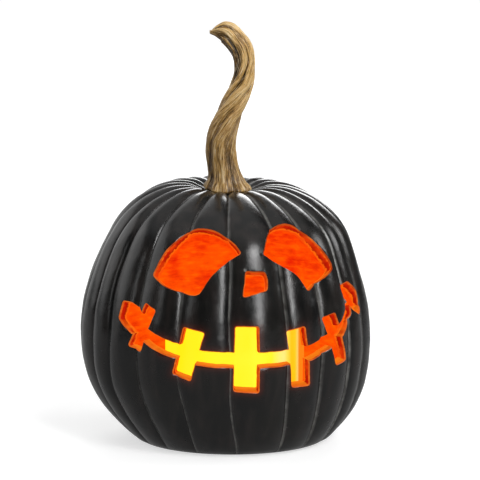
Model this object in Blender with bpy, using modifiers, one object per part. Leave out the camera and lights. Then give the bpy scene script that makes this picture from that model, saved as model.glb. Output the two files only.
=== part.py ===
"""Light-up pumpkin figure: a ribbed glazed shell with a carved face, a twisted stem and a drop-out light unit.

Lengths in this file are millimetres and angles are degrees; the helpers turn them into Blender's metres.
+Z is up and the face looks along -Y. The origin is on the ground, under the middle of the body.
A face angle is 0 straight ahead of the face and grows towards +X.
"""

import math

import bmesh
import bpy
from mathutils import Matrix, Vector

MM = 0.001
GAP = 0.3  # air between pieces that touch on the real object

# Shell: the turned profile as (radius, height, groove depth), from the foot ring up to the stem's seat.
BODY_PROFILE = (
    (66.3, 1.2, 0.0),
    (72.3, 4.6, 1.2),
    (82.3, 14.0, 2.0),
    (93.2, 27.0, 2.6),
    (100.3, 42.0, 3.0),
    (104.5, 60.0, 3.4),
    (105.2, 78.0, 3.6),
    (102.9, 100.0, 3.6),
    (97.2, 122.0, 3.6),
    (87.8, 146.0, 3.4),
    (77.4, 162.0, 3.3),
    (62.8, 174.5, 3.3),
    (46.0, 181.8, 3.6),
    (31.5, 183.2, 3.4),
    (22.5, 180.8, 2.0),
    (16.0, 178.0, 0.0),
)
LIP_RADIUS = 53.8  # the bottom opening
WALL = 7.0
SHELL_BASE = 1.2
BASE_SHIFT = 4.7  # the foot ring sits this far towards +X of the body's axis
LEAN_HEIGHT = 60.0  # and the body is back on its axis at this height
SIDE_SWELL = 1.9  # the body is this much fuller towards one side
SWELL_ANGLE = -101.0
FOOT_SWELL = 9.0  # and its foot reaches this much further to the front
FOOT_ANGLE = -11.0
CROWN_LEAN = 0.1  # how far the crown drops for each millimetre to the front
FRONT_CREASES = (-77.5, -64.5, -48.7, -31.0, -11.0, 12.0, 28.5, 46.0, 59.0)
BACK_RIBS = 13
COLUMNS_PER_RIB = 4

# Face: outlines on the skin as (face angle, height), cut along rays from the heart of the body.
HEART = 82.0
CUT_INNER = 0.78
CUT_OUTER = 1.18
LEFT_EYE = (
    ((-43.0, 128.0), (-38.5, 146.0), (-29.0, 157.5), (-18.0, 157.5), (-6.0, 144.0)),
    ((-6.0, 144.0), (-15.0, 133.5), (-23.0, 117.0)),
    ((-23.0, 117.0), (-31.0, 118.0), (-43.0, 128.0)),
)
RIGHT_EYE = (
    ((5.0, 143.0), (9.5, 155.0), (18.5, 161.0), (28.0, 156.5), (36.5, 141.0), (39.0, 129.5)),
    ((39.0, 129.5), (31.0, 122.5), (23.5, 117.0)),
    ((23.5, 117.0), (18.5, 128.5), (5.0, 143.0)),
)
NOSE = ((-3.5, 131.5), (4.5, 130.5), (5.2, 124.0), (4.5, 119.0), (-5.2, 115.0))
MOUTH_ENDS = (-55.0, 48.0)
MOUTH_HEIGHT = 72.2
MOUTH_HALF_WIDTH = 4.9
MOUTH_RISE_LEFT = 23.3  # how much higher the mouth line is at 50 degrees than in the middle
MOUTH_RISE_RIGHT = 33.0
TEETH = {
    "left_end": ((-56.0, 108.5), (-52.0, 108.0), (-45.0, 100.0), (-50.0, 87.0), (-57.0, 97.0)),
    "left_outer": ((-45.0, 108.5), (-40.0, 104.5), (-46.0, 76.0), (-51.5, 79.0)),
    "left_inner": ((-28.0, 94.0), (-20.0, 91.0), (-25.5, 58.0), (-32.5, 62.0)),
    "middle": ((-8.3, 95.0), (0.4, 94.5), (0.4, 49.5), (-9.0, 51.0)),
    "right_inner": ((12.5, 90.5), (19.5, 92.7), (21.8, 52.5), (14.5, 52.0)),
    "right_outer": ((29.7, 97.0), (35.5, 99.5), (41.7, 66.0), (35.6, 63.7)),
    "right_end": ((43.4, 115.5), (49.4, 118.5), (56.0, 110.5), (59.0, 101.0), (54.0, 95.5), (49.4, 99.5)),
}

# Stem: the middle line as (sideways, height, radius). Sideways runs towards +X and a little to the front.
STEM_SIDE = Vector((0.98, -0.19, 0.0))
STEM_SPINE = (
    (-0.8, 178.6, 13.0),
    (-0.8, 180.2, 15.6),
    (-1.0, 182.4, 15.2),
    (-1.8, 187.0, 12.0),
    (-3.9, 198.0, 10.6),
    (-5.2, 210.0, 10.4),
    (-3.8, 221.0, 10.0),
    (0.5, 233.0, 9.0),
    (6.2, 246.0, 8.2),
    (11.0, 258.0, 7.6),
    (11.8, 268.5, 7.5),
    (9.8, 279.0, 7.8),
    (5.0, 286.3, 7.8),
    (-1.0, 291.8, 7.6),
    (-7.0, 293.4, 5.4),
    (-12.5, 293.6, 2.4),
)
STEM_LOBES = 5
STEM_LOBE_DEPTH = 0.11  # as a share of the radius
STEM_TWIST = 150.0  # turn of the lobes from foot to tip, anticlockwise seen from above
STEM_SIDES = 20
DOWEL_RADIUS = 4.0
DOWEL_BOTTOM = 173.8  # the hole in the crown is blind
DOWEL_TOP = 195.0

# Light unit: everything below is centred on the foot ring.
FLOOR_BOTTOM = 1.5
FLOOR_TOP = 4.1
FLANGE_RADIUS = 57.5
RECESS_RADIUS = 58.0
DRUM_RADIUS = 50.4
DRUM_WALL = 2.4
DRUM_TOP = 91.0
GASKET_RADIUS = 53.4
GASKET_HEIGHT = 3.6
BAY_INSIDE = (59.0, 46.0)  # battery bay along X and Y
BAY_WALL = 2.0
BAY_TOP = 20.0
CELL_RADIUS = 7.25
CELL_LENGTH = 50.5
CELL_PITCH = 15.2
CELL_HEIGHT = 12.2
HINGE_Y = 20.5
HINGE_Z = 3.1
BARREL_RADIUS = 1.6
BARREL_LENGTH = 40.0
PIN_RADIUS = 0.8
DOOR_THICKNESS = 1.8
DRUM_SCREW_CIRCLE = 45.2
DRUM_SCREW_ANGLES = (90.0, 210.0, 330.0)
BOARD_RADIUS = 20.0
BOARD_BOTTOM = 25.0
BOARD_THICKNESS = 1.6
BOARD_SCREW_X = 15.0
LED_CIRCLE = 13.0
SWITCH_Y = -36.0
SWITCH_TRAVEL = 8.0
KNOB_SIZE = 4.0
PAD_CIRCLE = 62.3
PAD_RADIUS = 3.5

# Materials: (colour, roughness, metallic)
FINISHES = {
    "black_glaze": ((0.012, 0.012, 0.013), 0.32, 0.0),
    "stem_paint": ((0.42, 0.27, 0.11), 0.5, 0.0),
    "frosted_cover": ((1.0, 0.86, 0.1), 0.45, 0.0),
    "ivory_plastic": ((0.8, 0.76, 0.66), 0.45, 0.0),
    "black_plastic": ((0.03, 0.03, 0.03), 0.4, 0.0),
    "silicone": ((0.75, 0.75, 0.72), 0.6, 0.0),
    "felt": ((0.06, 0.06, 0.06), 0.95, 0.0),
    "hardwood": ((0.6, 0.42, 0.22), 0.6, 0.0),
    "zinc_steel": ((0.65, 0.65, 0.66), 0.3, 1.0),
    "board_green": ((0.03, 0.22, 0.09), 0.45, 0.0),
    "led_lens": ((1.0, 0.8, 0.45), 0.1, 0.0),
    "cell_wrap": ((0.08, 0.16, 0.32), 0.35, 0.0),
    "red_insulation": ((0.6, 0.02, 0.02), 0.4, 0.0),
    "black_insulation": ((0.02, 0.02, 0.02), 0.4, 0.0),
}


# Scene and materials


def clear_scene():
    for obj in list(bpy.data.objects):
        bpy.data.objects.remove(obj)


def new_collection(name):
    collection = bpy.data.collections.new(name)
    bpy.context.scene.collection.children.link(collection)
    return collection


def finish_material(slot):
    found = bpy.data.materials.get(slot)
    if found:
        return found
    colour, roughness, metallic = FINISHES[slot]
    material = bpy.data.materials.new(slot)
    material.use_nodes = True
    material.diffuse_color = (*colour, 1.0)
    shader = material.node_tree.nodes["Principled BSDF"]
    shader.inputs["Base Color"].default_value = (*colour, 1.0)
    shader.inputs["Roughness"].default_value = roughness
    shader.inputs["Metallic"].default_value = metallic
    return material


def part(name, mesh, slot, location=(0.0, 0.0, 0.0)):
    """A named piece of the figure, placed in millimetres."""
    mesh.materials.append(finish_material(slot))
    obj = bpy.data.objects.new(name, mesh)
    obj.location = Vector(location) * MM
    bpy.data.collections["pumpkin_figure"].objects.link(obj)
    return obj


def tool(name, mesh, location=(0.0, 0.0, 0.0)):
    """A cutter or an addition for a Boolean, left out of the figure."""
    obj = bpy.data.objects.new(name, mesh)
    obj.location = Vector(location) * MM
    obj.hide_render = True
    obj.display_type = "WIRE"
    bpy.data.collections["cutters"].objects.link(obj)
    return obj


def boolean(obj, other, operation="DIFFERENCE", solver="EXACT"):
    modifier = obj.modifiers.new(other.name, "BOOLEAN")
    modifier.operation = operation
    modifier.solver = solver
    modifier.object = other


# Shapes


def mesh_from(shape, name):
    mesh = bpy.data.meshes.new(name)
    shape.to_mesh(mesh)
    shape.free()
    return mesh


def box(name, low, high):
    shape = bmesh.new()
    low, high = Vector(low), Vector(high)
    place = Matrix.Translation((low + high) / 2 * MM) @ Matrix.Diagonal((*((high - low) * MM), 1.0))
    bmesh.ops.create_cube(shape, size=1.0, matrix=place)
    return mesh_from(shape, name)


def cylinder(name, radius, low, high, centre=(0.0, 0.0), sides=24, along="Z"):
    """A cylinder from low to high along Z or X; centre is its place across that axis."""
    shape = bmesh.new()
    middle = (low + high) / 2
    if along == "Z":
        place = Matrix.Translation(Vector((*centre, middle)) * MM)
    else:
        place = Matrix.Translation(Vector((middle, *centre)) * MM) @ Matrix.Rotation(math.pi / 2, 4, "Y")
    bmesh.ops.create_cone(
        shape,
        cap_ends=True,
        segments=sides,
        radius1=radius * MM,
        radius2=radius * MM,
        depth=(high - low) * MM,
        matrix=place,
    )
    return mesh_from(shape, name)


def turned(obj_maker, name, profile, sides, slot=None, closed=False, location=(0.0, 0.0, 0.0)):
    """A profile of (radius, height) turned round Z, run from the top down its outer side."""
    mesh = bpy.data.meshes.new(name)
    points = [(radius * MM, 0.0, height * MM) for radius, height in profile]
    edges = [(i, i + 1) for i in range(len(points) - 1)]
    if closed:
        edges.append((len(points) - 1, 0))
    mesh.from_pydata(points, edges, [])
    obj = obj_maker(name, mesh, slot, location) if slot else obj_maker(name, mesh, location)
    screw = obj.modifiers.new("Turn", "SCREW")
    screw.steps = sides
    screw.render_steps = sides
    screw.use_merge_vertices = True
    screw.merge_threshold = 0.00001
    screw.use_smooth_shade = True
    return obj


def loft(name, rings, cap_start=True, cap_end=True):
    """A skin through rings of points in millimetres, each ring anticlockwise seen from the last one."""
    shape = bmesh.new()
    rows = [[shape.verts.new(Vector(point) * MM) for point in ring] for ring in rings]
    for lower, upper in zip(rows, rows[1:]):
        for i, vertex in enumerate(lower):
            following = (i + 1) % len(lower)
            shape.faces.new((vertex, lower[following], upper[following], upper[i]))
    if cap_start:
        shape.faces.new(list(reversed(rows[0])))
    if cap_end:
        shape.faces.new(rows[-1])
    return mesh_from(shape, name)


def wire(name, points, radius, slot, location=(0.0, 0.0, 0.0)):
    curve = bpy.data.curves.new(name, "CURVE")
    curve.dimensions = "3D"
    curve.bevel_depth = radius * MM
    curve.bevel_resolution = 2
    curve.use_fill_caps = True
    spline = curve.splines.new("POLY")
    spline.points.add(len(points) - 1)
    for target, point in zip(spline.points, points):
        target.co = (*(Vector(point) * MM), 1.0)
    return part(name, curve, slot, location)


def smoothstep(t):
    t = min(max(t, 0.0), 1.0)
    return t * t * (3 - 2 * t)


def blended(before, start, end, after, t):
    """A Catmull-Rom point between start and end."""
    return 0.5 * (
        2 * start
        + (end - before) * t
        + (2 * before - 5 * start + 4 * end - after) * t * t
        + (3 * start - before - 3 * end + after) * t**3
    )


def curve_through(points, steps):
    """Points along a smooth curve through the given ones, steps to a span, without the last one."""
    knots = [Vector(point) for point in points]
    knots = [2 * knots[0] - knots[1], *knots, 2 * knots[-1] - knots[-2]]
    return [
        blended(*knots[i : i + 4], step / steps)
        for i in range(len(knots) - 3)
        for step in range(steps)
    ]


# Shell


def base_offset(height):
    return BASE_SHIFT * (1 - smoothstep(height / LEAN_HEIGHT))


def fullness(angle, height):
    """How much further out than round the hand-made body reaches."""
    side = SIDE_SWELL * (1 - smoothstep((height - 110.0) / 50.0)) * math.cos(math.radians(angle - SWELL_ANGLE))
    front = FOOT_SWELL * (1 - smoothstep(height / 36.0)) * max(math.cos(math.radians(angle - FOOT_ANGLE)), 0.0)
    return side + front


def face_point(angle, radius, height):
    turn = math.radians(angle)
    reach = radius + fullness(angle, height)
    y = -reach * math.cos(turn)
    lean = CROWN_LEAN * y * smoothstep((height - 140.0) / 46.0)
    return Vector((reach * math.sin(turn) + base_offset(height), y, height + lean))


def skin_radius(height):
    """Radius over the ribs on the side of the body, between the rows of the profile."""
    for (radius, low, _), (next_radius, high, _) in zip(BODY_PROFILE, BODY_PROFILE[1:]):
        if low <= height <= high:
            return radius + (next_radius - radius) * (height - low) / (high - low)
    raise ValueError(height)


def on_skin(angle, height):
    """The point of the skin, over the ribs, at a face angle and a height."""
    level = height
    for _ in range(5):
        point = face_point(angle, skin_radius(level), level)
        level += height - point.z
    return point


def crease_angles():
    """Every crease round the body, the front ones irregular and the back ones evenly spaced."""
    first, last = FRONT_CREASES[0], FRONT_CREASES[-1]
    spacing = (360 + first - last) / BACK_RIBS
    return list(FRONT_CREASES) + [last + spacing * i for i in range(1, BACK_RIBS)]


def rib_columns():
    """(angle, share of the groove depth) for each column of the skin."""
    creases = crease_angles()
    ends = creases[1:] + [creases[0] + 360]
    columns = []
    for start, end in zip(creases, ends):
        for step in range(COLUMNS_PER_RIB):
            across = step / COLUMNS_PER_RIB
            columns.append((start + (end - start) * across, abs(2 * across - 1) ** 3))
    return columns


def profile_normal(index):
    before = BODY_PROFILE[max(index - 1, 0)]
    after = BODY_PROFILE[min(index + 1, len(BODY_PROFILE) - 1)]
    along = Vector((after[0] - before[0], after[1] - before[1])).normalized()
    return Vector((along.y, -along.x))


def skin_rings():
    """The bottom opening's edge and the rings of the outer skin."""
    columns = rib_columns()
    rings = [[Vector((*around(angle - 90.0, LIP_RADIUS), SHELL_BASE)) for angle, _ in columns]]
    for index, (radius, height, groove) in enumerate(BODY_PROFILE):
        outward = profile_normal(index)
        rings.append(
            [
                face_point(angle, radius - outward.x * groove * share, height - outward.y * groove * share)
                for angle, share in columns
            ]
        )
    return rings


def ray_cutter(name, outline):
    """A cutter whose walls all point at the heart of the body, for an outline drawn on the skin."""
    heart = Vector((0.0, 0.0, HEART))
    skin = [on_skin(angle, height) for angle, height in outline]
    rings = [[heart + (point - heart) * reach for point in skin] for reach in (CUT_INNER, CUT_OUTER)]
    mesh = loft(name, rings)
    shape = bmesh.new()
    shape.from_mesh(mesh)
    bmesh.ops.triangulate(shape, faces=shape.faces)
    bmesh.ops.recalc_face_normals(shape, faces=shape.faces)
    shape.to_mesh(mesh)
    shape.free()
    return tool(name, mesh)


def eye_outline(sides):
    return [point for side in sides for point in curve_through(side, 2)]


def mouth_line(angle):
    rise = MOUTH_RISE_LEFT if angle < 0 else MOUTH_RISE_RIGHT
    return MOUTH_HEIGHT + rise * abs(angle / 50) ** 3


def mouth_outline():
    start, end = MOUTH_ENDS
    stations = [start + (end - start) * i / 12 for i in range(13)]
    upper = [(angle, mouth_line(angle) + MOUTH_HALF_WIDTH) for angle in stations]
    lower = [(angle, mouth_line(angle) - MOUTH_HALF_WIDTH) for angle in stations]
    return upper + lower[::-1]


def make_shell():
    shell = part("pumpkin_shell", loft("pumpkin_shell", skin_rings(), cap_start=False), "black_glaze")
    wall = shell.modifiers.new("Wall", "SOLIDIFY")
    wall.thickness = WALL * MM
    wall.offset = -1.0
    recess = cylinder("flange_recess", RECESS_RADIUS, -5.0, FLOOR_TOP + GAP, (BASE_SHIFT, 0.0), sides=64)
    cutters = [
        tool("flange_recess", recess),
        tool("dowel_hole", cylinder("dowel_hole", DOWEL_RADIUS + GAP, DOWEL_BOTTOM - GAP, 190.0)),
        ray_cutter("left_eye", eye_outline(LEFT_EYE)),
        ray_cutter("right_eye", eye_outline(RIGHT_EYE)),
        ray_cutter("nose", NOSE),
        ray_cutter("mouth_line", mouth_outline()),
    ]
    cutters += [ray_cutter("tooth_" + name, outline) for name, outline in TEETH.items()]
    for cutter in cutters:
        # The exact solver loses the whole shell where a tooth's cut meets the mouth's.
        boolean(shell, cutter, solver="MANIFOLD")


def make_felt_pads():
    for number, angle in enumerate((45.0, 135.0, 225.0, 315.0), start=1):
        turn = math.radians(angle)
        name = f"felt_pad_{number}"
        centre = (BASE_SHIFT + PAD_CIRCLE * math.cos(turn), PAD_CIRCLE * math.sin(turn))
        part(name, cylinder(name, PAD_RADIUS, 0.0, SHELL_BASE - GAP, centre, sides=16), "felt")


# Stem


def stem_ring(place, direction, radius, turn):
    """A lobed ring square to the stem's middle line."""
    back = direction.cross(STEM_SIDE).normalized()
    side = back.cross(direction).normalized()
    points = []
    for i in range(STEM_SIDES):
        angle = 2 * math.pi * i / STEM_SIDES
        reach = radius * (1 + STEM_LOBE_DEPTH * math.cos(STEM_LOBES * angle))
        points.append(place + reach * (math.cos(angle + turn) * side + math.sin(angle + turn) * back))
    return points


def make_stem():
    middle = [STEM_SIDE * sideways + Vector((0.0, 0.0, height)) for sideways, height, _ in STEM_SPINE]
    rings = []
    for i, (_, height, radius) in enumerate(STEM_SPINE):
        direction = (middle[min(i + 1, len(middle) - 1)] - middle[max(i - 1, 0)]).normalized()
        if height < STEM_SPINE[3][1]:
            direction = Vector((0.0, 0.0, 1.0))
        turn = math.radians(STEM_TWIST) * i / (len(STEM_SPINE) - 1)
        ring = stem_ring(middle[i], direction, radius, turn)
        lean = CROWN_LEAN * (1 - smoothstep((height - 184.0) / 16.0))
        rings.append([point + Vector((0.0, 0.0, lean * point.y)) for point in ring])
    stem = part("stem", loft("stem", rings), "stem_paint")
    boolean(stem, tool("stem_socket", cylinder("stem_socket", DOWEL_RADIUS + GAP, 175.0, DOWEL_TOP + GAP)))


def make_dowel():
    part("stem_dowel", cylinder("stem_dowel", DOWEL_RADIUS, DOWEL_BOTTOM, DOWEL_TOP), "hardwood")


# Light unit


def around(angle, radius):
    """A place on a circle round the light unit's axis, 0 degrees towards +X."""
    turn = math.radians(angle)
    return BASE_SHIFT + radius * math.cos(turn), radius * math.sin(turn)


def make_tray():
    tray = part(
        "base_tray",
        cylinder("base_tray", FLANGE_RADIUS, FLOOR_BOTTOM, FLOOR_TOP, (BASE_SHIFT, 0.0), sides=64),
        "ivory_plastic",
    )
    half_x, half_y = BAY_INSIDE[0] / 2, BAY_INSIDE[1] / 2
    outside = box(
        "bay_outside",
        (BASE_SHIFT - half_x - BAY_WALL, -half_y - BAY_WALL, FLOOR_BOTTOM + 1.0),
        (BASE_SHIFT + half_x + BAY_WALL, half_y + BAY_WALL, BAY_TOP + BAY_WALL),
    )
    inside = box(
        "bay_inside",
        (BASE_SHIFT - half_x, -half_y, FLOOR_BOTTOM - 1.0),
        (BASE_SHIFT + half_x, half_y, BAY_TOP),
    )
    boolean(tray, tool("bay_outside", outside), "UNION")
    boolean(tray, tool("bay_inside", inside))
    for side in (-1, 1):
        add_hinge_boss(tray, side)
        add_board_post(tray, side)
    bore = cylinder("tray_pin_bore", PIN_RADIUS + GAP, -60.0, 60.0, (HINGE_Y, HINGE_Z), sides=12, along="X")
    crop = box("pin_bore_crop", (BASE_SHIFT - 26.0, 15.0, 0.0), (BASE_SHIFT + 26.0, 24.0, 6.0))
    short_bore = tool("tray_pin_bore", bore)
    boolean(short_bore, tool("pin_bore_crop", crop), "INTERSECT")
    boolean(tray, short_bore)
    notch = box("finger_notch", (BASE_SHIFT - 7.0, -half_y - 5.0, 0.0), (BASE_SHIFT + 7.0, -half_y + 1.0, 3.1))
    boolean(tray, tool("finger_notch", notch))
    slot_half = (SWITCH_TRAVEL + KNOB_SIZE) / 2 + GAP
    slot = box(
        "switch_slot",
        (BASE_SHIFT - slot_half, SWITCH_Y - KNOB_SIZE / 2 - GAP, 0.0),
        (BASE_SHIFT + slot_half, SWITCH_Y + KNOB_SIZE / 2 + GAP, 6.0),
    )
    boolean(tray, tool("switch_slot", slot))
    for number, angle in enumerate(DRUM_SCREW_ANGLES, start=1):
        centre = around(angle, DRUM_SCREW_CIRCLE)
        name = f"tray_screw_hole_{number}"
        boolean(tray, tool(name, cylinder(name, 1.6, 0.0, 6.0, centre, sides=12)))
        name = f"tray_counterbore_{number}"
        boolean(tray, tool(name, cylinder(name, 3.0, 0.0, 3.2, centre, sides=12)))


def add_hinge_boss(tray, side):
    """The block that holds one end of the battery door's pin."""
    near, far = side * (BARREL_LENGTH / 2 + 0.5), side * (BARREL_LENGTH / 2 + 6.5)
    low_x, high_x = sorted((BASE_SHIFT + near, BASE_SHIFT + far))
    name = f"hinge_boss_{'left' if side < 0 else 'right'}"
    block = box(name, (low_x, HINGE_Y - 1.6, FLOOR_BOTTOM), (high_x, BAY_INSIDE[1] / 2 + 1.0, 5.3))
    boolean(tray, tool(name, block), "UNION")


def add_board_post(tray, side):
    """The post under one of the light board's screws."""
    centre = (BASE_SHIFT + side * BOARD_SCREW_X, 0.0)
    name = f"board_post_{'left' if side < 0 else 'right'}"
    boolean(tray, tool(name, cylinder(name, 3.0, BAY_TOP + 1.0, BOARD_BOTTOM - GAP, centre, sides=16)), "UNION")
    hole = cylinder(name + "_hole", 1.2, BAY_TOP + 2.4, BOARD_BOTTOM + 1.0, centre, sides=12)
    boolean(tray, tool(name + "_hole", hole))


def make_gasket():
    low = FLOOR_TOP + GAP
    inner = DRUM_RADIUS + GAP
    profile = (
        (inner, low + GASKET_HEIGHT),
        (GASKET_RADIUS - 0.8, low + GASKET_HEIGHT),
        (GASKET_RADIUS, low + GASKET_HEIGHT / 2),
        (GASKET_RADIUS - 0.8, low),
        (inner, low),
    )
    turned(part, "grip_gasket", profile, 48, "silicone", closed=True, location=(BASE_SHIFT, 0.0, 0.0))


def make_drum():
    low = FLOOR_TOP + GAP
    inner = DRUM_RADIUS - DRUM_WALL
    profile = (
        (0.0, DRUM_TOP - 1.0),
        (38.0, DRUM_TOP - 0.6),
        (46.5, DRUM_TOP),
        (49.4, DRUM_TOP - 1.0),
        (DRUM_RADIUS, DRUM_TOP - 3.5),
        (DRUM_RADIUS, low),
        (inner, low),
        (inner, DRUM_TOP - 5.0),
        (45.0, DRUM_TOP - 3.2),
        (0.0, DRUM_TOP - 3.6),
    )
    drum = turned(part, "light_drum", profile, 64, "frosted_cover", location=(BASE_SHIFT, 0.0, 0.0))
    for number, angle in enumerate(DRUM_SCREW_ANGLES, start=1):
        centre = around(angle, DRUM_SCREW_CIRCLE)
        name = f"drum_boss_{number}"
        boolean(drum, tool(name, cylinder(name, 3.4, low, 18.0, centre, sides=16)), "UNION")
        name = f"drum_boss_hole_{number}"
        boolean(drum, tool(name, cylinder(name, 1.3, 0.0, 14.0, centre, sides=12)))


def make_battery_door():
    half_x = BAY_INSIDE[0] / 2 - GAP
    front = -BAY_INSIDE[1] / 2 + GAP
    rear = HINGE_Y - 2.5
    top = FLOOR_BOTTOM + DOOR_THICKNESS
    hinge = Vector((BASE_SHIFT, HINGE_Y, HINGE_Z))

    def door_box(name, low, high):
        """A box in the figure's frame, made about the hinge's axis."""
        return box(name, Vector(low) - hinge, Vector(high) - hinge)

    plate = door_box("battery_door", (BASE_SHIFT - half_x, front, FLOOR_BOTTOM), (BASE_SHIFT + half_x, rear, top))
    door = part("battery_door", plate, "ivory_plastic", hinge)
    bridge_half = BARREL_LENGTH / 2 - 0.5
    bridge = door_box(
        "door_bridge",
        (BASE_SHIFT - bridge_half, rear - 1.0, FLOOR_BOTTOM + 0.05),
        (BASE_SHIFT + bridge_half, HINGE_Y, top - 0.05),
    )
    boolean(door, tool("door_bridge", bridge, hinge), "UNION")
    half = BARREL_LENGTH / 2
    barrel = cylinder("door_barrel", BARREL_RADIUS, -half, half, sides=16, along="X")
    boolean(door, tool("door_barrel", barrel, hinge), "UNION")
    bore = cylinder("door_bore", PIN_RADIUS + GAP, -half - 5.0, half + 5.0, sides=12, along="X")
    boolean(door, tool("door_bore", bore, hinge))
    for row in range(3):
        low_y = front + 3.0 + 2.4 * row
        name = f"door_grip_{row + 1}"
        groove = door_box(name, (BASE_SHIFT - 6.0, low_y, 0.0), (BASE_SHIFT + 6.0, low_y + 1.2, FLOOR_BOTTOM + 0.5))
        boolean(door, tool(name, groove, hinge))


def make_hinge_pin():
    half = BARREL_LENGTH / 2 + 5.5
    mesh = cylinder("door_hinge_pin", PIN_RADIUS, -half, half, sides=12, along="X")
    part("door_hinge_pin", mesh, "zinc_steel", (BASE_SHIFT, HINGE_Y, HINGE_Z))


def make_cells():
    """Three cells lying along X, the middle one the other way round, each with its two contacts."""
    half = CELL_LENGTH / 2
    cell = (
        (0.0, half),
        (2.7, half),
        (2.7, half - 1.2),
        (6.6, half - 1.2),
        (CELL_RADIUS, half - 1.9),
        (CELL_RADIUS, 0.7 - half),
        (6.6, -half),
        (0.0, -half),
    )
    button = (
        (0.0, -half - 0.3),
        (1.6, -half - 0.3),
        (2.2, -half - 0.9),
        (2.4, -half - 3.2),
        (4.2, -half - 3.3),
        (4.2, -half - 3.9),
        (0.0, -half - 3.9),
    )
    for number in (1, 2, 3):
        place = (BASE_SHIFT, (number - 2) * CELL_PITCH, CELL_HEIGHT)
        plus = -1 if number == 2 else 1
        battery = turned(part, f"battery_{number}", cell, 20, "cell_wrap", location=place)
        battery.rotation_euler.y = plus * math.pi / 2
        contact = turned(part, f"contact_button_{number}", button, 12, "zinc_steel", location=place)
        contact.rotation_euler.y = -plus * math.pi / 2
        wire(f"contact_spring_{number}", spring_points(-plus), 0.35, "zinc_steel", place)


def spring_points(towards):
    """A conical coil from a cell's flat end to the bay's wall, towards +X or -X."""
    turns, steps = 2.5, 8
    count = int(turns * steps)
    points = []
    for i in range(count + 1):
        share = i / count
        angle = 2 * math.pi * turns * share
        radius = 2.0 + 1.4 * share
        along = CELL_LENGTH / 2 + 0.75 + 2.8 * share
        points.append((towards * along, radius * math.cos(angle), radius * math.sin(angle)))
    return points


def screw_with_head(name, head_top, head_height, head_radius, shank_end, centre, slot="zinc_steel"):
    """A pan-head screw on a vertical axis, with a cross in its head; it points away from its head."""
    away = 1 if shank_end > head_top else -1
    profile = [
        (0.0, 0.0),
        (head_radius - 0.4, 0.0),
        (head_radius, -0.5),
        (head_radius, -head_height),
        (0.9, -head_height),
        (0.9, -abs(shank_end - head_top) + 0.6),
        (0.0, -abs(shank_end - head_top)),
    ]
    screw = turned(part, name, profile, 12, slot, location=(*centre, head_top))
    if away > 0:
        screw.rotation_euler.x = math.pi
    for mark, (half_x, half_y) in {"a": (1.4, 0.3), "b": (0.3, 1.4)}.items():
        cut = box(f"{name}_cross_{mark}", (-half_x, -half_y, -0.7), (half_x, half_y, 0.7))
        boolean(screw, tool(f"{name}_cross_{mark}", cut, (*centre, head_top)))


def make_screws():
    for number, angle in enumerate(DRUM_SCREW_ANGLES, start=1):
        centre = around(angle, DRUM_SCREW_CIRCLE)
        screw_with_head(f"drum_screw_{number}", FLOOR_BOTTOM, 1.4, 2.6, 12.0, centre)
    head_bottom = BOARD_BOTTOM + BOARD_THICKNESS + GAP
    for number, side in enumerate((-1, 1), start=1):
        centre = (BASE_SHIFT + side * BOARD_SCREW_X, 0.0)
        screw_with_head(f"board_screw_{number}", head_bottom + 1.4, 1.4, 2.3, BAY_TOP + 2.8, centre)


def make_board():
    top = BOARD_BOTTOM + BOARD_THICKNESS
    disc = cylinder("led_board", BOARD_RADIUS, BOARD_BOTTOM, top, (BASE_SHIFT, 0.0), sides=32)
    board = part("led_board", disc, "board_green")
    for number, side in enumerate((-1, 1), start=1):
        centre = (BASE_SHIFT + side * BOARD_SCREW_X, 0.0)
        name = f"board_hole_{number}"
        boolean(board, tool(name, cylinder(name, 1.3, BOARD_BOTTOM - 1, top + 1, centre, sides=12)))
    chip_low = top + GAP
    chip = box("timer_chip", (BASE_SHIFT - 3.5, -4.5, chip_low), (BASE_SHIFT + 3.5, 4.5, chip_low + 1.6))
    part("timer_chip", chip, "black_plastic")
    lens = [(2.5 * math.sin(math.radians(a)), 6.0 + 2.5 * math.cos(math.radians(a))) for a in (0, 30, 60, 90)]
    lens += [(2.5, 1.0), (2.9, 1.0), (2.9, 0.0), (0.0, 0.0)]
    for number in range(1, 5):
        place = (*around(90.0 * number - 45.0, LED_CIRCLE), chip_low)
        turned(part, f"led_{number}", lens, 12, "led_lens", location=place)


def make_leads():
    """Short leads from the bay and the switch up and over onto the board."""
    board_top = BOARD_BOTTOM + BOARD_THICKNESS + 0.35
    roof = BAY_TOP + BAY_WALL + 0.35
    for name, x, slot in (("red_lead", 5.0, "red_insulation"), ("black_lead", -5.0, "black_insulation")):
        route = (
            (x, -22.8, roof),
            (x, -22.8, 26.0),
            (x, -21.9, 29.0),
            (x, -20.2, 30.2),
            (x, -18.5, 29.6),
            (x, -17.6, 28.2),
            (x, -17.6, board_top),
        )
        wire(name, route, 0.7, slot, (BASE_SHIFT, 0.0, 0.0))
    route = (
        (0.0, SWITCH_Y, 11.1),
        (0.0, SWITCH_Y, 17.0),
        (0.0, SWITCH_Y + 1.2, 23.0),
        (0.0, SWITCH_Y + 4.5, 28.0),
        (0.0, SWITCH_Y + 9.5, 30.8),
        (0.0, SWITCH_Y + 14.5, 30.4),
        (0.0, SWITCH_Y + 17.6, 28.6),
        (0.0, SWITCH_Y + 18.2, board_top),
    )
    wire("switch_lead", route, 0.9, "black_insulation", (BASE_SHIFT, 0.0, 0.0))


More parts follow.
